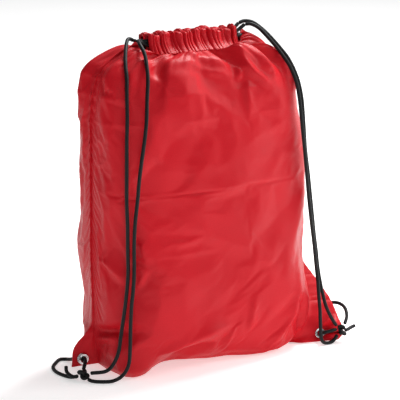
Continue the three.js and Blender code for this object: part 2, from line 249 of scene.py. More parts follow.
MOUTH_MIDDLE = -6 * MM
MOUTH_HALF = 52 * MM
MOUTH_MID_Y = 22 * MM  # outer face of the hem at its foot, at the middle of the mouth
MOUTH_END_Y = 10 * MM
MOUTH_CLOSE_X = {LEFT: -60 * MM, RIGHT: 50 * MM}  # where the side seams reach the mouth
MOUTH_COLUMNS = (0.1, 0.9)  # the share of each panel that is gathered on the hem
HEM_LEAN = 13 * MM  # how far the hem leans in over the mouth, at its middle
HEM_DEPTH = 8 * MM
HEM_BOTTOM = 301.5 * MM
HEM_TOP = 318 * MM
PLEATS = 24
PLEAT_DEPTH = 0.9 * MM

CORD_RADIUS = 1.8 * MM
CORD_EXIT_X = {LEFT: -67 * MM, RIGHT: 55 * MM}
CORD_EXIT_Z = {LEFT: 314 * MM, RIGHT: 320 * MM}

EYELET_OUT = {LEFT: 16 * MM, RIGHT: 17 * MM}
EYELET_Z = {LEFT: 15 * MM, RIGHT: 8.5 * MM}
EYELET_BORE = 2.7 * MM
EYELET_FLANGE = 5.4 * MM
EYELET_SKIN = 0.9 * MM  # from the middle of the ear to the underside of the flange
EYELET_ROLL = 0.9 * MM


# ---- Helpers ----

def lerp(a, b, share):
    return a + (b - a) * share


def ramp(value, low, high):
    share = np.clip((value - low) / (high - low), 0, 1)
    return share * share * (3 - 2 * share)


def unit(vectors):
    return vectors / np.maximum(np.linalg.norm(vectors, axis=-1, keepdims=True), 1e-12)


def mesh_object(name, points, faces, smooth=True):
    mesh = bpy.data.meshes.new(name)
    mesh.from_pydata([tuple(p) for p in points], [], faces)
    if smooth:
        mesh.shade_smooth()
    piece = bpy.data.objects.new(name, mesh)
    bpy.context.scene.collection.objects.link(piece)
    return piece


def grid_faces(rows, columns, around=False, flip=False):
    faces = []
    for r in range(rows - 1):
        for c in range(columns if around else columns - 1):
            a = r * columns + c
            b = r * columns + (c + 1) % columns
            face = [a, b, b + columns, a + columns]
            faces.append(face[::-1] if flip else face)
    return faces


def stand_for(piece, node, slot):
    """The piece rides on the bag in the place of a CAD node."""
    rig.ride(piece, "bag")
    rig.replaces(piece, node)
    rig.slot(piece, slot)


def thicken(piece, thickness, offset):
    modifier = piece.modifiers.new("thickness", "SOLIDIFY")
    modifier.thickness = thickness
    modifier.offset = offset


def add_attribute(piece, name, values):
    """Gives each vertex three numbers that a material can read."""
    layer = piece.data.attributes.new(name, "FLOAT_VECTOR", "POINT")
    layer.data.foreach_set("vector", np.asarray(values, dtype=np.float32).reshape(-1))


def smooth_line(points, step):
    """Points every step along a smooth curve through given points."""
    p = np.array(points, dtype=float)
    p = np.vstack([2 * p[0] - p[1], p, 2 * p[-1] - p[-2]])
    line = []
    for i in range(1, len(p) - 2):
        t = np.linspace(0, 1, 24, endpoint=False)[:, None]
        a, b, c, d = p[i - 1 : i + 3]
        square = 2 * a - 5 * b + 4 * c - d
        cube = 3 * b - a - 3 * c + d
        line.append(0.5 * (2 * b + (c - a) * t + square * t**2 + cube * t**3))
    line = np.vstack([*line, p[-2:-1]])
    length = np.concatenate([[0], np.cumsum(np.linalg.norm(np.diff(line, axis=0), axis=1))])
    count = max(2, round(length[-1] / step) + 1)
    places = np.linspace(0, length[-1], count)
    return np.column_stack([np.interp(places, length, line[:, k]) for k in range(3)])


def line_length(line):
    return float(np.linalg.norm(np.diff(line, axis=0), axis=1).sum())


def grid_normals(grid, sign):
    across = np.gradient(grid, axis=1)
    up = np.gradient(grid, axis=0)
    return unit(np.cross(across, up)) * sign


# ---- Camera ----

def make_camera():
    azimuth, elevation = math.radians(CAMERA_AZIMUTH), math.radians(CAMERA_ELEVATION)
    back = Vector((
        math.sin(azimuth) * math.cos(elevation),
        -math.cos(azimuth) * math.cos(elevation),
        math.sin(elevation),
    ))
    data = bpy.data.cameras.new("camera")
    data.lens = CAMERA_LENS
    data.sensor_width = 36
    data.shift_x = CAMERA_SHIFT
    camera = bpy.data.objects.new("camera", data)
    camera.location = Vector(CAMERA_AIM) + back * CAMERA_DISTANCE
    camera.rotation_euler = (-back).to_track_quat("-Z", "Y").to_euler()
    bpy.context.scene.collection.objects.link(camera)
    bpy.context.scene.camera = camera


# ---- Materials ----

class Nodes:
    """A short way to write a procedural material."""

    def __init__(self, name):
        self.material = bpy.data.materials.new(name)
        self.material.use_nodes = True
        self.tree = self.material.node_tree
        self.shader = self.tree.nodes["Principled BSDF"]

    def add(self, kind, inputs=None, **settings):
        node = self.tree.nodes.new(kind)
        for key, value in settings.items():
            setattr(node, key, value)
        for key, value in (inputs or {}).items():
            if isinstance(value, bpy.types.NodeSocket):
                self.tree.links.new(value, node.inputs[key])
            else:
                node.inputs[key].default_value = value
        return node

    def attribute(self, name):
        return self.add("ShaderNodeAttribute", attribute_name=name).outputs["Vector"]

    def object_place(self):
        return self.add("ShaderNodeTexCoord").outputs["Object"]

    def math(self, operation, a, b=0.0):
        return self.add("ShaderNodeMath", {0: a, 1: b}, operation=operation).outputs[0]

    def noise(self, place, scale, detail=3.0, rough=0.5):
        inputs = {"Vector": place, "Scale": scale, "Detail": detail, "Roughness": rough}
        return self.add("ShaderNodeTexNoise", inputs).outputs["Fac"]

    def ramp(self, value, stops):
        node = self.add("ShaderNodeValToRGB", {0: value})
        elements = node.color_ramp.elements
        for index, (place, colour) in enumerate(stops):
            element = elements[index] if index < 2 else elements.new(place)
            element.position = place
            element.color = (*colour, 1) if len(colour) == 3 else (colour[0],) * 3 + (1,)
        return node.outputs["Color"]

    def bump(self, height, strength, distance, under=None):
        inputs = {"Height": height, "Strength": strength, "Distance": distance}
        if under is not None:
            inputs["Normal"] = under
        return self.add("ShaderNodeBump", inputs).outputs["Normal"]

    def link(self, socket, value):
        self.tree.links.new(value, self.shader.inputs[socket])

    def set(self, **values):
        for key, value in values.items():
            self.shader.inputs[key.replace("_", " ")].default_value = value


def thread_bands(nodes, place, axis, pitch):
    """Rounded parallel threads along one axis of the cloth, as a height."""
    part = nodes.add("ShaderNodeSeparateXYZ", {0: place}).outputs[axis]
    turns = nodes.math("MULTIPLY", part, 2 * math.pi / pitch)
    return nodes.math("ABSOLUTE", nodes.math("SINE", turns))


def cloth_material():
    nodes = Nodes("red_polyester")
    weave = nodes.attribute("cloth")
    place = nodes.object_place()
    patches = nodes.noise(place, 14, 4, 0.55)
    threads = nodes.noise(weave, 900, 2, 0.6)
    tone = nodes.math("ADD", nodes.math("MULTIPLY", patches, 0.6), nodes.math("MULTIPLY", threads, 0.4))
    colour = nodes.ramp(tone, [
        (0.30, (0.46, 0.002, 0.008)),
        (0.52, (0.54, 0.004, 0.012)),
        (0.75, (0.62, 0.008, 0.017)),
    ])
    nodes.link("Base Color", colour)
    shine = nodes.ramp(nodes.noise(place, 22, 3), [(0.3, (0.34,)), (0.7, (0.46,))])
    nodes.link("Roughness", shine)
    nodes.set(Sheen_Weight=0.02, Sheen_Roughness=0.35, Sheen_Tint=(1.0, 0.55, 0.5, 1))
    nodes.set(Specular_IOR_Level=0.18)
    warp = thread_bands(nodes, weave, "X", WEAVE_PITCH)
    weft = thread_bands(nodes, weave, "Y", WEAVE_PITCH)
    height = nodes.math("MULTIPLY", nodes.math("ADD", warp, weft), 0.5)
    fine = nodes.bump(height, 0.5, 0.09 * MM)
    crumple = nodes.noise(weave, 85, 4, 0.6)
    nodes.link("Normal", nodes.bump(crumple, 0.3, 0.4 * MM, fine))
    return nodes.material


def cord_material():
    nodes = Nodes("black_braid")
    braid = nodes.attribute("braid")
    part = nodes.add("ShaderNodeSeparateXYZ", {0: braid})
    relief = part.outputs["Z"]
    fibres = nodes.noise(nodes.object_place(), 1500, 2, 0.6)
    # The colour follows the strand height: painted shade darkens the gaps between strands and painted highlight
    # lightens the crossings. The fibre noise adds a random tone.
    tone = nodes.math("ADD", nodes.math("MULTIPLY", relief, 0.7), nodes.math("MULTIPLY", fibres, 0.3))
    nodes.link("Base Color", nodes.ramp(tone, [
        (0.15, (0.002, 0.002, 0.0025)),
        (0.60, (0.005, 0.0055, 0.006)),
        (0.95, (0.016, 0.018, 0.020)),
    ]))
    nodes.link("Roughness", nodes.ramp(fibres, [(0.3, (0.45,)), (0.7, (0.62,))]))
    nodes.set(Sheen_Weight=0.03, Sheen_Roughness=0.4, Specular_IOR_Level=0.2)
    nodes.link("Normal", nodes.bump(fibres, 0.4, 0.1 * MM))
    return nodes.material


def metal_material():
    nodes = Nodes("nickel_plate")
    place = nodes.object_place()
    wear = nodes.noise(place, 700, 4, 0.65)
    nodes.link("Base Color", nodes.ramp(wear, [
        (0.3, (0.68, 0.69, 0.70)),
        (0.7, (0.86, 0.87, 0.88)),
    ]))
    nodes.link("Roughness", nodes.ramp(wear, [(0.3, (0.14,)), (0.75, (0.30,))]))
    nodes.set(Metallic=1.0)
    nodes.link("Normal", nodes.bump(nodes.noise(place, 1800, 2), 0.15, 0.05 * MM))
    return nodes.material


def thread_material():
    nodes = Nodes("red_thread")
    fibres = nodes.noise(nodes.object_place(), 2500, 2, 0.6)
    nodes.link("Base Color", nodes.ramp(fibres, [
        (0.3, (0.42, 0.006, 0.012)),
        (0.7, (0.60, 0.016, 0.026)),
    ]))
    nodes.link("Roughness", nodes.ramp(fibres, [(0.3, (0.5,)), (0.7, (0.7,))]))
    nodes.set(Sheen_Weight=0.2)
    nodes.link("Normal", nodes.bump(fibres, 0.4, 0.1 * MM))
    return nodes.material


def use(piece, material):
    piece.data.materials.clear()
    piece.data.materials.append(material)


# ---- The shape of the stuffed bag ----

def section_at(z):
    table = np.array(SECTIONS)
    heights = table[:, 0] * MM
    sizes = [np.interp(z, heights, table[:, k] * MM) for k in range(1, 5)]
    return [*sizes, np.interp(z, heights, table[:, 5])]


def ring_point(section, angle):
    left, right, front, back, power = section
    c, s = np.cos(angle), np.sin(angle)
    rho = (np.abs(c) ** power + np.abs(s) ** power) ** (-1 / power)
    return rho * c * np.where(c > 0, right, left), rho * s * np.where(s > 0, back, front)


def ring_angle(section, y, hand):
    _, _, front, back, power = section
    share = y / np.where(y > 0, back, front)
    across = (1 - np.abs(share) ** power) ** (1 / power)
    return np.arctan2(share, hand * across)


def seam_at(z, hand):
    """A side seam at a height: root, direction of the ear, direction across it, and its reach."""
    ear = EARS[hand]
    section = section_at(z)
    rise = ramp(z, EAR_UPRIGHT, ear["height"])
    y = np.zeros_like(z) if hand == LEFT else -RIGHT_SEAM_FORWARD * (1 - rise)
    x, y = ring_point(section, ring_angle(section, y, hand))
    along = unit(np.stack([np.full_like(z, hand), ear["turn"] * (1 - rise)], axis=-1))
    across = np.stack([-along[..., 1], along[..., 0]], axis=-1) * hand
    reach = SEAM_RIDGE + ear["reach"] * np.maximum(0, 1 - z / ear["height"]) ** ear["bend"]
    return np.stack([x, y], axis=-1), along, across, reach


def bottom_seam_y(x):
    return -RIGHT_SEAM_FORWARD * ramp(x, 40 * MM, 106 * MM)


def panel_surface(side, column, run):
    """The stuffed shape: column runs from the left seam (0) to the right (1), run up the cloth."""
    climb = np.maximum(0, run - BASE_REACH)
    depth = np.minimum(1, run / BASE_REACH)
    lift = np.where(column < 0.5, EARS[LEFT]["lift"], EARS[RIGHT]["lift"])
    seam_z = lerp(lift, PANEL_TOP, run / (BASE_REACH + PANEL_TOP))
    edge = np.abs(2 * column - 1) ** 8
    z = lerp(climb, seam_z, edge)
    section = section_at(z)
    first = ring_angle(section, np.full_like(z, side * SEAM_LAYER), LEFT)
    last = ring_angle(section, seam_at(z, RIGHT)[0][..., 1] + side * SEAM_LAYER, RIGHT)
    x, y = ring_point(section, lerp(first, last, column))
    seam_y = bottom_seam_y(x)
    apart = side * SEAM_LAYER * (1 - depth)
    return np.stack([x, seam_y + apart + (y - seam_y) * depth, z], axis=-1)


def fin_surface(side, hand, out, run):
    """The flat ear beyond a side seam: out is the share of its reach."""
    z = lerp(EARS[hand]["lift"], PANEL_TOP, run / (BASE_REACH + PANEL_TOP))
    root, along, across, reach = seam_at(z, hand)
    layer = side * SEAM_LAYER * (1 - 0.75 * out**2)
    xy = root + along * (reach * out)[..., None] + across * layer[..., None]
    return np.concatenate([xy, z[..., None]], axis=-1)


def mouth_point(side, share):
    """The outer face of the gathered hem, share running from its left end to its right end."""
    t = 2 * share - 1
    y = side * lerp(MOUTH_MID_Y, MOUTH_END_Y, t**4)
    return np.stack([MOUTH_MIDDLE + MOUTH_HALF * t, y], axis=-1)


def hem_size(share, climb):
    """How far the hem leans in at a share of its height, and how thick it is."""
    middle = ramp(1 - np.abs(2 * share - 1), 0, 0.5)
    lean = lerp(0.42, 1, middle) * HEM_LEAN * (1 - (1 - np.clip(climb, 0, 1)) ** 2)
    return lean, lerp(0.55, 1, middle) * HEM_DEPTH


def mouth_edge(side, column):
    """The top edge of a panel, gathered on the hem and closing round its ends to the side seams."""
    low, high = MOUTH_COLUMNS
    share = np.clip((column - low) / (high - low), 0, 1)
    xy = mouth_point(side, share)
    corner = np.maximum(0, np.maximum(low - column, column - high)) / low
    end_x = np.where(column < 0.5, MOUTH_CLOSE_X[LEFT], MOUTH_CLOSE_X[RIGHT])
    x = lerp(xy[..., 0], end_x, corner**0.5)
    y = lerp(xy[..., 1], side * SEAM_LAYER, corner)
    return np.stack([x, y, np.full_like(x, HEM_BOTTOM + 0.3 * MM)], axis=-1)


def cloth_places():
    """Column and run of every point of a panel's grid; columns beyond 0 and 1 are in the ears."""
    fin = np.linspace(0, 1, FIN_COLUMNS + 1)[1:]
    column = np.concatenate([-fin[::-1], np.linspace(0, 1, RING_COLUMNS + 1), 1 + fin])
    base = np.linspace(0, BASE_REACH, BASE_ROWS, endpoint=False)
    wall = BASE_REACH + PANEL_TOP * np.linspace(0, 1, WALL_ROWS + 1) ** 0.9
    run = np.concatenate([base, wall])
    return np.meshgrid(column, run)


def panel_grid(side):
    column, run = cloth_places()
    inside = np.clip(column, 0, 1)
    grid = panel_surface(side, inside, run)
    for hand, out in ((LEFT, -column), (RIGHT, column - 1)):
        fin = out > 0
        grid[fin] = fin_surface(side, hand, out[fin], run[fin])
    edge = mouth_edge(side, inside)
    edge[..., 0] += (column - inside) * SEAM_RIDGE
    top = ramp(run, BASE_REACH + PANEL_TOP - 22 * MM, BASE_REACH + PANEL_TOP)[..., None]
    return lerp(grid, edge, top), column, run


# ---- Pleats and folds ----

def pleat_phase(column):
    """Counts the pleats along the gathered stretch: a whole number at the bottom of each."""
    random = np.random.default_rng(SEED)
    widths = random.uniform(0.55, 1.6, PLEATS)
    edges = np.concatenate([[0], np.cumsum(widths)]) / widths.sum()
    low, high = MOUTH_COLUMNS
    places = low + (high - low) * edges
    outside = (column - np.clip(column, low, high)) * PLEATS / (high - low)
    return np.interp(column, places, np.arange(PLEATS + 1)) + outside


def pleat_profile(phase):
    """From -1 in the sharp valleys to 1 on the round crests."""
    return 1 - 2 * (1 - np.abs(np.sin(np.pi * phase))) ** 1.4


def per_pleat(phase, seed, low, high):
    """A number for each pleat, turning smoothly into the next one's."""
    values = np.random.default_rng(seed).uniform(low, high, PLEATS + 60)
    place = np.clip(phase + 30, 0, PLEATS + 58)
    index = place.astype(int)
    return lerp(values[index], values[index + 1], ramp(place - index, 0, 1))


def gathers(side, column, below):
    """Height of the pleats at a distance in mm below the foot of the hem.

    The narrow ones fade first and the wide ones run over the shoulder.
    """
    phase = pleat_phase(column) + 0.5 * (side > 0)
    seed = SEED + side
    drift = 0.25 * np.sin(below / 17 + 3 * column) * ramp(below, 0, 30)
    narrow = pleat_profile(phase + drift) * per_pleat(phase, seed, 0.1, 1.3) * PLEAT_DEPTH
    narrow *= np.exp(-((below / per_pleat(phase, seed + 5, 5, 26)) ** 2))
    middle = np.sin(np.pi * (phase + drift) / 2.1 + 0.7) * per_pleat(phase / 2.1, seed + 7, 0.3, 1.0)
    middle *= lerp(1.3, 3.2, ramp(below, 0, 14)) * MM
    middle *= np.exp(-((below / per_pleat(phase, seed + 9, 24, 50)) ** 2))
    wide = np.sin(np.pi * phase / 4.6 + 1.3) * per_pleat(phase / 4.6, seed + 11, 0.4, 1.0)
    wide *= lerp(1.5, 4.8, ramp(below, 2, 26)) * MM * np.exp(-((below / 85) ** 2))
    return narrow + middle + wide


def pleats(side, column, run):
    below = (BASE_REACH + PANEL_TOP - run) / MM
    return gathers(side, column, below) * ramp(0.5 - np.abs(column - 0.5), 0.0, 0.06)


# Folds of the front, in mm: points along the fold, how far it reaches to each side, and its height.
FRONT_FOLDS = [
    (
        [(16, -12, 316), (23, -16, 309), (25, -30, 300), (30, -42, 285), (42, -47, 272), (55, -49, 265)],
        (4, 9), 4.2,
    ),
    ([(28, -14, 310), (40, -24, 303), (50, -36, 290), (57, -43, 277), (57, -48, 267)], (8, 3.5), 3.2),
    ([(-35, -12, 313), (-29, -20, 306), (-20, -31, 298), (-2, -36, 292), (17, -40, 288)], (3.5, 9), 3.4),
    ([(-50, -33, 293), (-29, -36, 292), (-14, -41, 286), (2, -43, 282), (14, -45, 279)], (3, 8), 2.2),
    ([(17, -39, 289), (20, -43, 283), (15, -46, 277)], (2.5, 4), 2.4),
    ([(28, -37, 291), (27, -45, 279), (24, -51, 258), (24, -55, 238)], (3, 6), 1.8),
    ([(14, -12, 315), (23, -15, 309), (28, -21, 304)], (3, 3), -3.4),
    ([(0, -16, 309), (6, -28, 301), (14, -36, 292)], (5, 5), -2.6),
    ([(-74, -16, 303), (-76, -23, 298), (-72, -28, 295), (-61, -27, 298)], (3, 5), 2.4),
    ([(-60, -12, 308), (-64, -22, 300), (-66, -30, 290), (-63, -38, 278)], (5, 7), -3.0),
    ([(-45, -14, 308), (-50, -25, 300), (-55, -34, 290)], (4, 6), 2.6),
    ([(37, -14, 308), (52, -24, 300), (66, -31, 288), (74, -38, 272)], (6, 6), -2.8),
    ([(46, -10, 308), (62, -18, 302), (78, -27, 288), (88, -36, 268), (92, -42, 248)], (6, 8), 2.8),
    ([(-60, -12, 306), (-80, -18, 298), (-96, -22, 284), (-106, -26, 262)], (7, 10), 2.6),
    ([(-112, -12, 118), (-112, -28, 106), (-104, -44, 92)], (4, 9), 2.6),
    ([(-97, -50, 140), (-94, -51, 122), (-90, -52, 112)], (3, 8), 2.6),
    ([(-90, -52, 113), (-95, -51, 104), (-100, -50, 92)], (8, 3), 2.2),
    ([(-80, -52, 12), (-72, -55, 22), (-46, -59, 36), (-20, -60, 42), (0, -60, 43)], (9, 5), 3.6),
    ([(-62, -57, 8), (-40, -59, 18), (-14, -60, 26)], (7, 7), -3.4),
    ([(-6, -56, 8), (-1, -58, 24), (3, -60, 42)], (2.5, 6), 2.2),
    ([(25, -60, 66), (23, -60, 50), (20, -59, 30)], (2.5, 7), 2.2),
    ([(44, -58, 6), (62, -58, 22), (80, -58, 48), (86, -57, 80)], (10, 8), 3.0),
    ([(86, -57, 60), (90, -55, 34), (90, -53, 10)], (5, 4), -3.2),
    ([(97, -53, 66), (100, -53, 36), (96, -52, 8)], (4, 5), 2.4),
    ([(-123, 8, 36), (-121, -6, 42), (-114, -31, 47), (-100, -46, 48)], (4, 5), -3.0),
    ([(-124, 8, 26), (-120, -12, 32), (-112, -34, 34)], (3, 4), -2.0),
    ([(-126, 4, 31), (-120, -20, 38), (-110, -40, 42)], (4, 4), 2.4),
]
FOLD_SCALE = 1.7  # for all the heights above
FOLD_STEP = 2 * MM  # between the points of a fold's line
# Lines pressed into the cloth when it was packed flat.
PRESS_LINES = [
    [(-110, -36, 176), (-60, -56, 177), (0, -60, 176), (50, -58, 175), (92, -50, 174)],
    [(18, -60, 176), (19, -61, 150), (19, -61, 120)],
    [(-37, -16, 309), (-48, -30, 298), (-55, -40, 282)],
]


def along_fold(grid, normals, points):
    """For each cloth point: distance to a line, its side of it, and the share of the way along."""
    line = smooth_line(np.array(points) * MM, FOLD_STEP)
    tangents = unit(np.gradient(line, axis=0))
    flat = grid.reshape(-1, 3)
    gap = flat[:, None, :] - line[None]
    nearest = np.argmin((gap**2).sum(-1), axis=1)
    offset = np.take_along_axis(gap, nearest[:, None, None], axis=1)[:, 0]
    n = normals.reshape(-1, 3)
    offset -= n * (offset * n).sum(-1, keepdims=True)
    side = np.sign((np.cross(tangents[nearest], n) * offset).sum(-1))
    shape = grid.shape[:2]
    distance = np.linalg.norm(offset, axis=-1)
    return distance.reshape(shape), side.reshape(shape), (nearest / (len(line) - 1)).reshape(shape)


def fold_height(grid, normals, points, widths, height):
    distance, side, share = along_fold(grid, normals, points)
    width = np.where(side > 0, widths[0], widths[1]) * MM
    ends = ramp(share, -0.02, 0.3) * ramp(1 - share, -0.1, 0.35)
    return FOLD_SCALE * height * MM * np.exp(-((distance / width) ** 1.5)) * ends


def press_height(grid, normals, points):
    distance, _, share = along_fold(grid, normals, points)
    ends = ramp(share, 0, 0.1) * ramp(1 - share, 0, 0.1)
    return -0.35 * MM * np.exp(-((distance / (1.4 * MM)) ** 2)) * ends


# How the stuffing pushes the cloth out of the plain shape, in mm: panels, centre, reach and push.
LUMPS = [
    ((FRONT, BACK), (-100, 38, 272), 34, (-4, 3, 1)),
    ((FRONT, BACK), (-84, 22, 296), 24, (-7, 2, 3)),
    ((FRONT, BACK), (63, 0, 306), 17, (0, 0, 11)),
    ((FRONT, BACK), (-70, 0, 306), 15, (0, 0, 8)),
    ((FRONT,), (106, -46, 245), 48, (-3.5, 2.5, 0)),
    ((FRONT,), (106, -46, 160), 60, (-3.5, 2.5, 0)),
    ((FRONT,), (106, -48, 90), 40, (-3, 2, 0)),
    ((FRONT, BACK), (-130, 4, 26), 15, (-5, 7, 0)),
    ((FRONT,), (-124, -2, 30), 14, (-1, -7, 2)),
    ((FRONT,), (-114, -28, 26), 17, (-6, -4, 1)),
    ((BACK,), (-124, 4, 28), 13, (-1, 7, 0)),
    ((FRONT,), (-62, -50, 0), 24, (0, 14, 6)),
    ((FRONT,), (-30, -50, 0), 26, (0, 9, 5)),
    ((FRONT,), (6, -50, 0), 24, (0, 5, 3)),
    ((FRONT,), (56, -50, 0), 20, (0, -5, 0)),
    ((FRONT,), (-10, -60, 150), 90, (0, 3, 0)),
    ((BACK,), (-10, 60, 150), 90, (0, -3, 0)),
]


def push_lumps(grid, side, column):
    """Moves the cloth; a push on one panel only dies out towards the sewn edge of the ears."""
    out = np.maximum(-column, column - 1)
    moved = grid.copy()
    for sides, centre, reach, push in LUMPS:
        if side not in sides:
            continue
        away = np.linalg.norm(grid - np.array(centre) * MM, axis=-1) / (reach * MM)
        amount = np.exp(-(away**2)) * (1 if len(sides) == 2 else 1 - ramp(out, 0.2, 1))
        moved += amount[..., None] * np.array(push) * MM
    return moved


def soft_waves(grid, side):
    """Slow swells of loosely stuffed cloth, mostly running down from the mouth."""
    random = np.random.default_rng(SEED + 40 + side)
    x, y, z = np.moveaxis(grid, -1, 0) / MM
    total = np.zeros_like(x)
    for _ in range(14):
        length = random.uniform(45, 120)
        turn = random.normal(0.25, 0.75)
        phase = random.uniform(0, 2 * np.pi)
        across = (x + 0.6 * y) * np.cos(turn) + z * np.sin(turn)
        total += np.sin(2 * np.pi * across / length + phase) * length / 100
    return 0.42 * MM * total


def seam_puckers(column, run):
    """The cloth draws up in short ripples along the sewn side seams."""
    beside = np.minimum(np.abs(column), np.abs(1 - column)) * 340
    beside = np.where((column < 0) | (column > 1), 0, beside)
    r = run / MM
    ripple = np.sin(r / 1.45 + 1.7 * np.sin(r / 11)) + 0.6 * np.sin(r / 2.9 + 2.1 * np.sin(r / 17))
    return 0.55 * MM * ripple * np.exp(-beside / 5)


def folded_panel(side):
    grid, column, run = panel_grid(side)
    grid = push_lumps(grid, side, column)
    normals = grid_normals(grid, -side)
    height = soft_waves(grid, side) * ramp(run, 20 * MM, BASE_REACH + 40 * MM)
    if side == FRONT:
        for points, widths, rise in FRONT_FOLDS:
            height += fold_height(grid, normals, points, widths, rise)
        for points in PRESS_LINES:
            height += press_height(grid, normals, points)
    height *= ramp(BASE_REACH + PANEL_TOP - run, 1 * MM, 13 * MM)
    height += pleats(side, column, run)
    edge = ramp(np.minimum(column, 1 - column), 0, 0.035)
    height *= edge * ramp(run, 0, BASE_REACH * 0.8)
    height += seam_puckers(column, run) * ramp(run, BASE_REACH * 0.3, BASE_REACH)
    level = ramp(BASE_REACH + PANEL_TOP - run, 14 * MM, 0)[..., None]
    normals = unit(lerp(normals, np.array([0, side, 0]), level))
    return grid + normals * height[..., None], column, run


# ---- Cords ----

# The routes of the CAD model, in mm. The left outer run goes on for another 1.8 mm, up to its knot.
LEFT_OUTER_RUN = [
    (-67, 5, 314), (-72, 4, 316), (-77, 0, 315), (-82, -6, 311), (-88, -14, 304), (-93, -22, 296),
    (-97, -30, 286), (-101, -36, 272), (-104, -41, 252), (-106, -43, 231), (-107, -44, 204),
    (-108, -45, 177), (-108, -46, 152), (-108, -46, 128), (-108, -46, 105), (-110, -45, 81),
    (-112, -43, 61), (-114, -42, 46), (-116, -41, 31), (-120, -38, 19), (-126, -34, 12),
    (-135.2, -21.6, 8.4),
]
LEFT_INNER_RUN = [
    (-67, -4, 314), (-70, -9, 314.5), (-72, -15, 312), (-73, -23, 306), (-76, -31, 297),
    (-80, -39, 284), (-85, -45, 267), (-89, -50, 249), (-92, -51, 231), (-95, -51, 214),
    (-98, -51, 195), (-100, -51, 177), (-103, -51, 154), (-104, -50.5, 133), (-104, -50.5, 114),
    (-105, -50.5, 95), (-107, -50, 76), (-108, -49.5, 56), (-109, -50, 36), (-110, -49, 20),
    (-114, -45, 9), (-120, -39, 3), (-128, -34, 2), (-136, -27, 2.2), (-139, -22.6, 3.6),
]
RIGHT_FRONT_RUN = [
    (55, -5, 320), (60, -8, 320), (66, -13, 316), (71, -20, 308), (76, -27, 299), (80, -35, 289),
    (83, -41, 280), (85, -48, 266), (86, -52, 249), (87, -56, 221), (90, -56, 200), (93, -56, 175),
    (97, -55, 149), (100, -55, 129), (106, -53, 101), (109, -53, 79), (109, -56, 64), (109, -58, 49),
    (109, -60, 36), (109, -61, 22), (109, -62, 10), (111, -63, 3.8), (116, -64, 2), (122, -65, 3),
    (127.6, -65.4, 8.6),
]
RIGHT_BACK_RUN = [
    (55, 5, 320), (61, 4, 321.5), (68, 0, 320), (74, -7, 314), (79, -15, 306), (84, -24, 296),
    (88, -32, 286), (91, -41, 270), (92, -47.5, 251), (92, -51.5, 225), (94, -52, 200), (98, -52, 175),
    (103, -50, 150), (108, -47, 130), (113, -44, 110), (115, -45, 93), (115, -48, 77), (116, -51, 62),
    (117, -54, 50), (119, -57, 38), (123, -60, 27), (128.4, -62.6, 17),
]
LEFT_TAIL_LOOP = [
    (-137.3, -12.4, 9.8), (-133, -8, 13), (-129.4, -3, 15), (-129, 2, 15), (-128.8, 7, 14.6),
    (-128, 14, 12), (-126, 24, 8), (-124, 35, 4), (-124, 43, 2), (-129, 45, 2), (-138, 38, 2),
    (-146, 29, 2), (-150, 18, 2), (-150, 6, 2), (-147, -5, 2.2), (-143, -12.2, 4.4),
]
RIGHT_TAIL_LOOP = [
    (127.8, -63.4, 14), (123.4, -63, 13.4), (118.6, -61.4, 12.6), (115.4, -58.4, 11.2),
    (115.1, -54.6, 9.7), (116.5, -51, 8.5), (117.7, -47.8, 7.4), (119.6, -43.4, 7.6),
    (123.4, -38, 11), (128.6, -33.6, 18),
    (135, -31.6, 26), (142, -33.4, 31), (148, -40, 32), (149.4, -49, 29.4), (145.6, -57.6, 23.6),
    (138.4, -63.2, 17.4),
]
RIGHT_TAIL_END = [(138.4, -64, 11), (143, -63, 11), (148, -62, 12), (153, -62, 13)]
LEFT_TAIL_END = [(-145, -15, 5), (-149, -11, 5), (-151, -5, 8), (-149, 0, 12)]
LEFT_KNOT = (-140, -17, 7)
RIGHT_KNOT = (133, -65, 12)

STRAP_BEND = 30 * MM  # the stretch over which a swinging cord bends
KNOT_SCALE = 1.7 * MM
CORD_SIDES = 24
CORD_STEP = 0.55 * MM
CORD_END = 0.9 * MM  # length of the rounding at a cord's end
BRAID_PITCH = 6.5 * MM  # length of one full turn of a strand
BRAID_STRANDS = 8
BRAID_RELIEF = 0.14 * MM


def tube_frames(line):
    """Two directions across the line at each point, carried along it without twist."""
    tangents = unit(np.gradient(line, axis=0))
    start = np.cross(tangents[0], (0, 0, 1) if abs(tangents[0][2]) < 0.9 else (1, 0, 0))
    sides = [unit(start)]
    for tangent in tangents[1:]:
        carried = sides[-1] - tangent * np.dot(sides[-1], tangent)
        sides.append(unit(carried))
    sides = np.array(sides)
    return sides, np.cross(tangents, sides)


def braid_height(angle, along):
    """How far the strands of a round braid stand up, from 0 in the gaps to 1 on the crossings."""
    left = BRAID_STRANDS / 2 * angle + 2 * np.pi * along / BRAID_PITCH * BRAID_STRANDS / 2
    right = BRAID_STRANDS / 2 * angle - 2 * np.pi * along / BRAID_PITCH * BRAID_STRANDS / 2
    over = (np.floor(left / np.pi) + np.floor(right / np.pi)) % 2 < 1
    return np.where(over, np.abs(np.sin(left)), np.abs(np.sin(right))) ** 0.7


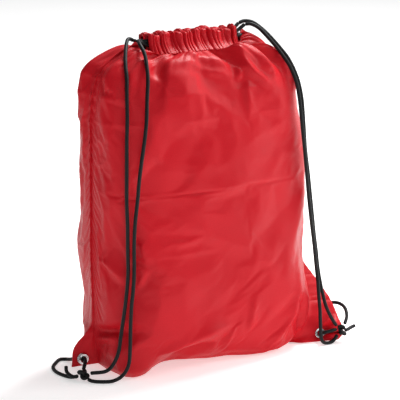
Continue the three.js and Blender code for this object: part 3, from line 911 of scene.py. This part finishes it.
def cord_tube(name, line, radius=CORD_RADIUS):
    """A braided cord along a line, with slightly rounded ends."""
    sides, ups = tube_frames(line)
    along = np.concatenate([[0], np.cumsum(np.linalg.norm(np.diff(line, axis=0), axis=1))])
    angle = np.linspace(0, 2 * np.pi, CORD_SIDES, endpoint=False)
    relief = braid_height(angle[None], along[:, None])
    to_end = np.minimum(along, along[-1] - along)
    ending = np.sqrt(np.clip(1 - (1 - np.clip(to_end / CORD_END, 0, 1)) ** 2, 0.05, 1))
    r = (radius - BRAID_RELIEF * (1 - relief)) * ending[:, None]
    ring = np.cos(angle)[None, :, None] * sides[:, None] + np.sin(angle)[None, :, None] * ups[:, None]
    points = line[:, None] + ring * r[..., None]
    rows = len(line)
    faces = grid_faces(rows, CORD_SIDES, around=True, flip=True)
    faces.append(list(range(CORD_SIDES)))
    faces.append([(rows - 1) * CORD_SIDES + k for k in range(CORD_SIDES)][::-1])
    piece = mesh_object(name, points.reshape(-1, 3), faces)
    spread = np.broadcast_to(angle[None], relief.shape)
    length = np.broadcast_to(along[:, None], relief.shape)
    # The strand height in the third number also drives the cord's painted shade in the gaps and painted highlight on
    # the crossings.
    add_attribute(piece, "braid", np.stack([spread, length, relief], axis=-1))
    return piece


def strap_run(name, route, body, far_end="knot", pieces=()):
    """A cord of a strap: it stays with the bag where it leaves the hem, and swings below that."""
    line = smooth_line(np.array(route) * MM, CORD_STEP)
    piece = cord_tube(name + "_braid", line)
    bend_end = line[round(STRAP_BEND / CORD_STEP)]
    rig.blend(piece, "bag", body, start=tuple(line[4]), end=tuple(bend_end))
    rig.replaces(piece, name)
    declare_cord(piece, line, far_end, pieces)
    return piece


def declare_cord(piece, line, far_end, pieces=()):
    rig.slot(piece, "cord")
    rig.cord(
        piece,
        exit=tuple(line[0]),
        length=line_length(line),
        diameter=2 * CORD_RADIUS,
        far_end=far_end,
        stiffness="limp",
        lay="loose",
        path=[tuple(p) for p in line[::4]] + [tuple(line[-1])],
        with_pieces=list(pieces),
    )


def tail_piece(name, route):
    line = smooth_line(np.array(route) * MM, CORD_STEP)
    piece = cord_tube(name + "_braid", line)
    stand_for(piece, name, "cord")
    return piece, line


def knot_piece(name, place, turn):
    """An overhand knot pulled tight."""
    t = np.linspace(0.25, 2 * np.pi - 0.25, 150)
    x = np.sin(t) + 2 * np.sin(2 * t)
    y = np.cos(t) - 2 * np.cos(2 * t)
    z = -1.25 * np.sin(3 * t)
    line = np.column_stack([x, y, z]) * KNOT_SCALE
    c, s = math.cos(turn), math.sin(turn)
    tilt = np.array([[c, 0, s], [0.5 * s, 0.85, -0.5 * c], [-0.85 * s, 0.5, 0.85 * c]])
    line = line @ tilt.T + np.array(place) * MM
    piece = cord_tube(name + "_braid", smooth_line(line, 0.4 * MM), CORD_RADIUS * 0.9)
    stand_for(piece, name, "cord")
    return piece


def drawcord_in_channel(name, hand, z):
    """The hidden stretch of a drawcord, through one half of the hem and back through the other."""
    shares = np.linspace(0.02, 0.98, 9)[:: -hand]
    front = []
    for share in shares:
        x, y = mouth_point(FRONT, np.array(share)) / MM
        lean, thick = hem_size(share, (z * MM - HEM_BOTTOM) / (HEM_TOP - HEM_BOTTOM))
        front.append((x, y + (lean + 0.6 * thick) / MM, z))
    back = [(x, -y, z) for x, y, _ in front[::-1]]
    exit_x = CORD_EXIT_X[hand] / MM - 0.3 * hand
    exit_z = CORD_EXIT_Z[hand] / MM
    turn_x = (MOUTH_MIDDLE - hand * MOUTH_HALF) / MM - 7 * hand
    route = [(exit_x, -5, exit_z), *front, (turn_x, 0, z), *back, (exit_x, 5, exit_z)]
    return tail_piece(name, route)[0]


def make_cords():
    left_knot = knot_piece("left_knot", LEFT_KNOT, 0.5)
    right_knot = knot_piece("right_knot", RIGHT_KNOT, 1.3)
    left_end, _ = tail_piece("left_tail_end", LEFT_TAIL_END)
    right_end, _ = tail_piece("right_tail_end", RIGHT_TAIL_END)
    cords = [left_knot, right_knot, left_end, right_end]
    cords.append(strap_run("left_strap_outer_run", LEFT_OUTER_RUN, "left_strap"))
    cords.append(strap_run("left_strap_inner_run", LEFT_INNER_RUN, "left_strap"))
    cords.append(strap_run("right_strap_front_run", RIGHT_FRONT_RUN, "right_strap"))
    cords.append(strap_run("right_strap_back_run", RIGHT_BACK_RUN, "right_strap"))
    for name, route, pieces in (
        ("left_tail_loop", LEFT_TAIL_LOOP, (left_knot, left_end)),
        ("right_tail_loop", RIGHT_TAIL_LOOP, (right_knot, right_end)),
    ):
        loop, line = tail_piece(name, route)
        declare_cord(loop, line, "knot", pieces)
        cords.append(loop)
    cords.append(drawcord_in_channel("left_drawcord_in_channel", LEFT, 309.5))
    cords.append(drawcord_in_channel("right_drawcord_in_channel", RIGHT, 313.5))
    material = cord_material()
    for cord in cords:
        use(cord, material)


# ---- Cloth pieces ----

CORDS_ON_CLOTH = (
    LEFT_OUTER_RUN, LEFT_INNER_RUN, RIGHT_FRONT_RUN, RIGHT_BACK_RUN, LEFT_TAIL_LOOP, RIGHT_TAIL_LOOP,
)
CORD_BED = CORD_RADIUS + 0.25 * MM
CORD_NEAR = 9 * MM  # the cloth beyond this isn't pressed by a cord


def press_under_cords(grid, side):
    """Lays the cloth under each cord that rests on it, in a groove with soft sides."""
    normals = grid_normals(grid, -side).reshape(-1, 3)
    flat = grid.reshape(-1, 3).copy()
    for route in CORDS_ON_CLOTH:
        line = smooth_line(np.array(route) * MM, 2 * MM)
        gap = flat[:, None, :] - line[None]
        nearest = np.argmin((gap**2).sum(-1), axis=1)
        offset = np.take_along_axis(gap, nearest[:, None, None], axis=1)[:, 0]
        up = (offset * normals).sum(-1)
        beside = np.sqrt(np.maximum(0, (offset**2).sum(-1) - up**2))
        under = -np.sqrt(np.maximum(0, CORD_BED**2 - beside**2))
        limit = np.where(beside < CORD_BED, under, 0.9 * (beside - CORD_BED))
        near = (beside < CORD_NEAR) & (np.abs(up) < CORD_NEAR)
        push = np.where(near, np.maximum(0, up - limit), 0)
        flat -= normals * push[:, None]
    return flat.reshape(grid.shape)


SETTLE_FRAMES = 12
SETTLE_CAP = 4.0 * MM


def simulate(piece, held):
    """Lets the cloth buckle and settle into its folds, with the held points fixed."""
    group = piece.vertex_groups.new(name="held")
    for index in np.nonzero(held > 0)[0]:
        group.add([int(index)], float(held[index]), "REPLACE")
    cloth = piece.modifiers.new("settle", "CLOTH")
    settings = cloth.settings
    settings.quality = 4
    settings.mass = 0.3
    settings.tension_stiffness = settings.compression_stiffness = 15
    settings.shear_stiffness = 5
    settings.bending_stiffness = 0.3
    settings.shrink_min = -0.016
    settings.use_pressure = True
    settings.uniform_pressure_force = 0.6
    settings.vertex_group_mass = "held"
    settings.effector_weights.gravity = 0
    cloth.point_cache.frame_start = 1
    cloth.point_cache.frame_end = SETTLE_FRAMES
    for step in range(1, SETTLE_FRAMES + 1):
        bpy.context.scene.frame_set(step)
    settled = piece.evaluated_get(bpy.context.evaluated_depsgraph_get())
    points = np.empty(len(piece.data.vertices) * 3)
    settled.data.vertices.foreach_get("co", points)
    bpy.context.scene.frame_set(1)
    return points.reshape(-1, 3)


def settled_grid(grid, side, column, run):
    """The panel after a short cloth simulation of all but its base, ears and gathered edge."""
    below_top = BASE_REACH + PANEL_TOP - run[:, 0]
    rows = np.nonzero((run[:, 0] > BASE_REACH * 0.6) & (below_top > 3 * MM))[0]
    columns = np.nonzero((column[0] >= 0) & (column[0] <= 1))[0]
    part = np.ix_(rows, columns)
    loose, beside = grid[part], np.minimum(column, 1 - column)[part]
    held = 1 - ramp(run[part], BASE_REACH * 0.7, BASE_REACH * 1.15) * ramp(beside, 0, 0.04)
    held = np.maximum(held, 1 - ramp(BASE_REACH + PANEL_TOP - run[part], 4 * MM, 22 * MM))
    trial = mesh_object("settling", loose.reshape(-1, 3), grid_faces(*held.shape, flip=side == BACK))
    moved = simulate(trial, held.reshape(-1)).reshape(loose.shape) - loose
    bpy.data.objects.remove(trial)
    far = np.linalg.norm(moved, axis=-1, keepdims=True)
    settled = grid.copy()
    settled[part] = loose + moved * np.minimum(1, SETTLE_CAP / np.maximum(far, 1e-9))
    return settled


def make_panel(name, side, pieces):
    grid, column, run = folded_panel(side)
    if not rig.quick():
        grid = settled_grid(grid, side, column, run)
    grid = press_under_cords(grid, side)
    grid[..., 2] = np.maximum(grid[..., 2], 0.3 * MM)
    faces = grid_faces(*grid.shape[:2], flip=side == BACK)
    piece = mesh_object(name + "_cloth", grid.reshape(-1, 3), faces)
    beyond = np.where(column < 0, column, np.maximum(column - 1, 0))
    across = (np.clip(column, 0, 1) - 0.5) * PANEL_FLAT[0] + beyond * EAR_CLOTH
    add_attribute(piece, "cloth", np.stack([across, run, np.zeros_like(run)], axis=-1))
    piece.modifiers.new("smooth", "SUBSURF").levels = 1
    piece.modifiers["smooth"].render_levels = 1
    thicken(piece, CLOTH_THICKNESS, INWARDS)
    stand_for(piece, name, "bag_cloth")
    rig.sheet(piece, flat=PANEL_FLAT, held="gathered", with_pieces=pieces)
    return piece


HEM_COLUMNS = 480
HEM_OUT_ROWS = 12
HEM_TOP_ROWS = 7
HEM_CLOTH = (0.27, 0.016, 0.02)  # the cloth along the hem, up its side and over to the inside


def hem_section():
    """One turn round the hem: share of its depth inwards and share of its height."""
    up = [(0, k / HEM_OUT_ROWS) for k in range(HEM_OUT_ROWS)]
    over = []
    for k in range(HEM_TOP_ROWS + 1):
        angle = math.pi * k / HEM_TOP_ROWS
        over.append((0.5 - 0.5 * math.cos(angle), 1 + 0.12 * math.sin(angle)))
    down = [(1, 1 - k / HEM_OUT_ROWS) for k in range(1, HEM_OUT_ROWS)]
    return np.array(up + over + down + [(0.9, 0.02), (0.5, 0), (0.1, 0)])


def make_hem(name, side):
    depth, climb = hem_section().T
    share = np.linspace(0, 1, HEM_COLUMNS + 1)
    share, depth = np.meshgrid(share, depth, indexing="ij")
    climb = np.broadcast_to(climb, share.shape)
    column = lerp(*MOUTH_COLUMNS, share)
    phase = pleat_phase(column) + 0.5 * (side > 0)
    profile = pleat_profile(phase)
    taller = lerp(1.0, 1.5, ramp(climb, 0, 1))
    out = 0.3 * MM + gathers(side, column, np.zeros_like(share)) * taller * (1 - 0.8 * depth)
    xy = mouth_point(side, share)
    lean, thick = hem_size(share, climb)
    y = xy[..., 1] - side * (depth * thick + lean - out)
    tilt = per_pleat(phase, SEED + 21, -1.4, 1.4) * MM * ramp(climb, 0.3, 1)
    top = HEM_TOP + per_pleat(phase, SEED + 23 + side, -3.0, 1.4) * MM + profile * 0.6 * MM
    z = lerp(HEM_BOTTOM, top, climb)
    grid = np.stack([xy[..., 0] + tilt, y, z], axis=-1)
    faces = grid_faces(*grid.shape[:2], around=True, flip=side == FRONT)
    piece = mesh_object(name + "_gathers", grid.reshape(-1, 3), faces)
    width, height, through = HEM_CLOTH
    run = climb * height + depth * through
    add_attribute(piece, "cloth", np.stack([share * width, run, 0 * share], axis=-1))
    thicken(piece, CLOTH_THICKNESS, INWARDS)
    stand_for(piece, name, "bag_cloth")
    return piece


# ---- Seam allowances inside the bag ----

def seam_strip(name, place, steps):
    """A strip of doubled cloth with an overlocked edge; place(share, across) gives its points."""
    share = np.linspace(0, 1, steps)
    across = np.linspace(0, 1, 6)
    grid = np.array([[place(s, a) for a in across] for s in share])
    piece = mesh_object(name + "_allowance", grid.reshape(-1, 3), grid_faces(*grid.shape[:2]))
    add_attribute(piece, "cloth", grid[..., [0, 2, 1]])
    thicken(piece, 2 * CLOTH_THICKNESS, BOTH_WAYS)
    stand_for(piece, name, "seam_thread")
    return piece


def side_allowance(hand):
    def place(share, across):
        z = lerp(26, 290, share) * MM
        root, along, _, _ = seam_at(np.array(z), hand)
        start = (2.4 + 3 * ramp(z, 255 * MM, 300 * MM)) * MM
        xy = root - along * (start + 7 * MM * across)
        wave = 0.4 * MM * math.sin(share * 90) * across
        return (xy[0], xy[1] + wave, z)

    return place


def bottom_allowance(share, across):
    x = lerp(-86, 70, share) * MM
    return (x, float(bottom_seam_y(np.array(x))), (2 + 7 * across) * MM)


def make_allowances(material):
    pieces = [
        seam_strip("left_side_seam", side_allowance(LEFT), 160),
        seam_strip("right_side_seam", side_allowance(RIGHT), 160),
        seam_strip("bottom_seam", bottom_allowance, 100),
    ]
    for piece in pieces:
        use(piece, material)


# ---- Eyelets ----

def eyelet_place(hand):
    """Centre of an eyelet and the direction that its flange faces."""
    z = np.array([EYELET_Z[hand] - EYELET_FLANGE, EYELET_Z[hand], EYELET_Z[hand] + EYELET_FLANGE])
    root, along, _, _ = seam_at(z, hand)
    xy = root + along * EYELET_OUT[hand]
    points = np.column_stack([xy, z])
    facing = np.cross((*along[1], 0), points[2] - points[0]) * hand
    return points[1], unit(facing)


def lathe(name, profile, hand, segments=64):
    """Turns a closed outline of (radius, distance outwards) round an eyelet's axis."""
    centre, facing = eyelet_place(hand)
    across = unit(np.cross(facing, (0, 0, 1)))
    up = np.cross(across, facing)
    angle = np.linspace(0, 2 * np.pi, segments, endpoint=False)[:, None]
    r, out = np.array(profile).T
    points = (
        centre
        + (np.cos(angle) * r)[..., None] * across
        + (np.sin(angle) * r)[..., None] * up
        + np.broadcast_to(out, (segments, len(out)))[..., None] * facing
    )
    count = len(profile)
    faces = []
    for k in range(segments):
        for j in range(count):
            a, b = k * count + j, k * count + (j + 1) % count
            c, d = (k + 1) % segments * count + (j + 1) % count, (k + 1) % segments * count + j
            faces.append([a, b, c, d])
    piece = mesh_object(name + "_turned", points.reshape(-1, 3), faces)
    stand_for(piece, name, "eyelet_metal")
    return piece


def arc(centre_r, centre_out, radius, start, end, steps):
    angles = np.radians(np.linspace(start, end, steps))
    return [(centre_r + radius * math.cos(a), centre_out + radius * math.sin(a)) for a in angles]


def make_eyelets():
    material = metal_material()
    for side, hand in (("left", LEFT), ("right", RIGHT)):
        roll = EYELET_ROLL
        barrel = EYELET_BORE + 0.35 * MM
        flange = [
            (EYELET_BORE, -EYELET_SKIN - 0.8 * MM),
            (EYELET_BORE, EYELET_SKIN),
            *arc(EYELET_BORE + roll, EYELET_SKIN, roll, 180, 70, 10),
            (EYELET_FLANGE - 0.8 * MM, EYELET_SKIN + 0.75 * MM),
            *arc(EYELET_FLANGE - 0.45 * MM, EYELET_SKIN + 0.35 * MM, 0.45 * MM, 80, -90, 8),
            (EYELET_FLANGE - 1.0 * MM, EYELET_SKIN),
            (barrel + 0.5 * MM, EYELET_SKIN - 0.1 * MM),
            (barrel, EYELET_SKIN - 0.6 * MM),
            (barrel, -EYELET_SKIN - 0.8 * MM),
        ]
        washer = [
            (barrel + 0.1 * MM, -EYELET_SKIN - 0.7 * MM),
            *arc(EYELET_FLANGE - 0.3 * MM, -EYELET_SKIN - 0.35 * MM, 0.3 * MM, -90, 90, 8),
            (barrel + 0.1 * MM, -EYELET_SKIN - 0.1 * MM),
        ]
        use(lathe(f"{side}_eyelet", flange, hand), material)
        use(lathe(f"{side}_eyelet_washer", washer, hand), material)


# ---- Floor and light ----

WORLD_LIGHT = 0.24
FLOOR_REACH = 6
LIGHT_TARGET = (0, 0, 0.16)
# Name, place, size and power of each soft light.
LIGHTS = [
    ("key", (1.6, -1.2, 1.5), (0.9, 0.9), 17),
    ("front", (-0.6, -2.2, 1.0), (1.2, 1.2), 6),
    ("top", (0.2, 0.3, 2.2), (1.6, 1.6), 5),
    ("gloss", (1.15, 0.3, 1.7), (0.7, 0.7), 50),
    ("side", (1.9, -0.7, 0.5), (0.8, 1.0), 6),
]


def make_floor():
    corners = [(-1, -1), (1, -1), (1, 1), (-1, 1)]
    points = [(FLOOR_REACH * x, FLOOR_REACH * y, 0) for x, y in corners]
    floor = mesh_object("floor", points, [[0, 1, 2, 3]], smooth=False)
    nodes = Nodes("pale_floor")
    grain = nodes.noise(nodes.object_place(), 6, 2)
    nodes.link("Base Color", nodes.ramp(grain, [(0.3, (0.86, 0.86, 0.86)), (0.7, (0.9, 0.9, 0.9))]))
    nodes.set(Roughness=0.7, Emission_Color=(1, 1, 1, 1), Emission_Strength=0.5)
    use(floor, nodes.material)
    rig.stage(floor)


def area_light(name, place, size, power):
    data = bpy.data.lights.new(name, "AREA")
    data.shape = "RECTANGLE"
    data.size, data.size_y = size
    data.energy = power
    light = bpy.data.objects.new(name, data)
    light.location = place
    light.rotation_euler = (Vector(LIGHT_TARGET) - Vector(place)).to_track_quat("-Z", "Y").to_euler()
    bpy.context.scene.collection.objects.link(light)


def make_lights():
    world = bpy.data.worlds.new("studio")
    world.use_nodes = True
    tree = world.node_tree
    background = tree.nodes["Background"]
    background.inputs["Color"].default_value = (1, 1, 1, 1)
    seen = tree.nodes.new("ShaderNodeLightPath").outputs["Is Camera Ray"]
    strength = tree.nodes.new("ShaderNodeMapRange")
    strength.inputs["To Min"].default_value = WORLD_LIGHT
    strength.inputs["To Max"].default_value = 1.0
    tree.links.new(seen, strength.inputs["Value"])
    tree.links.new(strength.outputs["Result"], background.inputs["Strength"])
    bpy.context.scene.world = world
    for light in LIGHTS:
        area_light(*light)


def make_bag():
    cloth = cloth_material()
    thread = thread_material()
    for name, side in (("front", FRONT), ("back", BACK)):
        hem = make_hem(f"{name}_channel", side)
        panel = make_panel(f"{name}_panel", side, [hem])
        use(hem, cloth)
        use(panel, cloth)
    make_allowances(thread)


def colour_management():
    settings = bpy.context.scene.view_settings
    settings.view_transform = "Standard"
    settings.look = "None"


make_camera()
make_cords()
make_bag()
make_eyelets()
make_floor()
make_lights()
colour_management()

seen_low, seen_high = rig.bounds()
with open("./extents.json", "w") as file:
    json.dump({"cad": [list(cad_low), list(cad_high)], "visual": [list(seen_low), list(seen_high)]}, file)
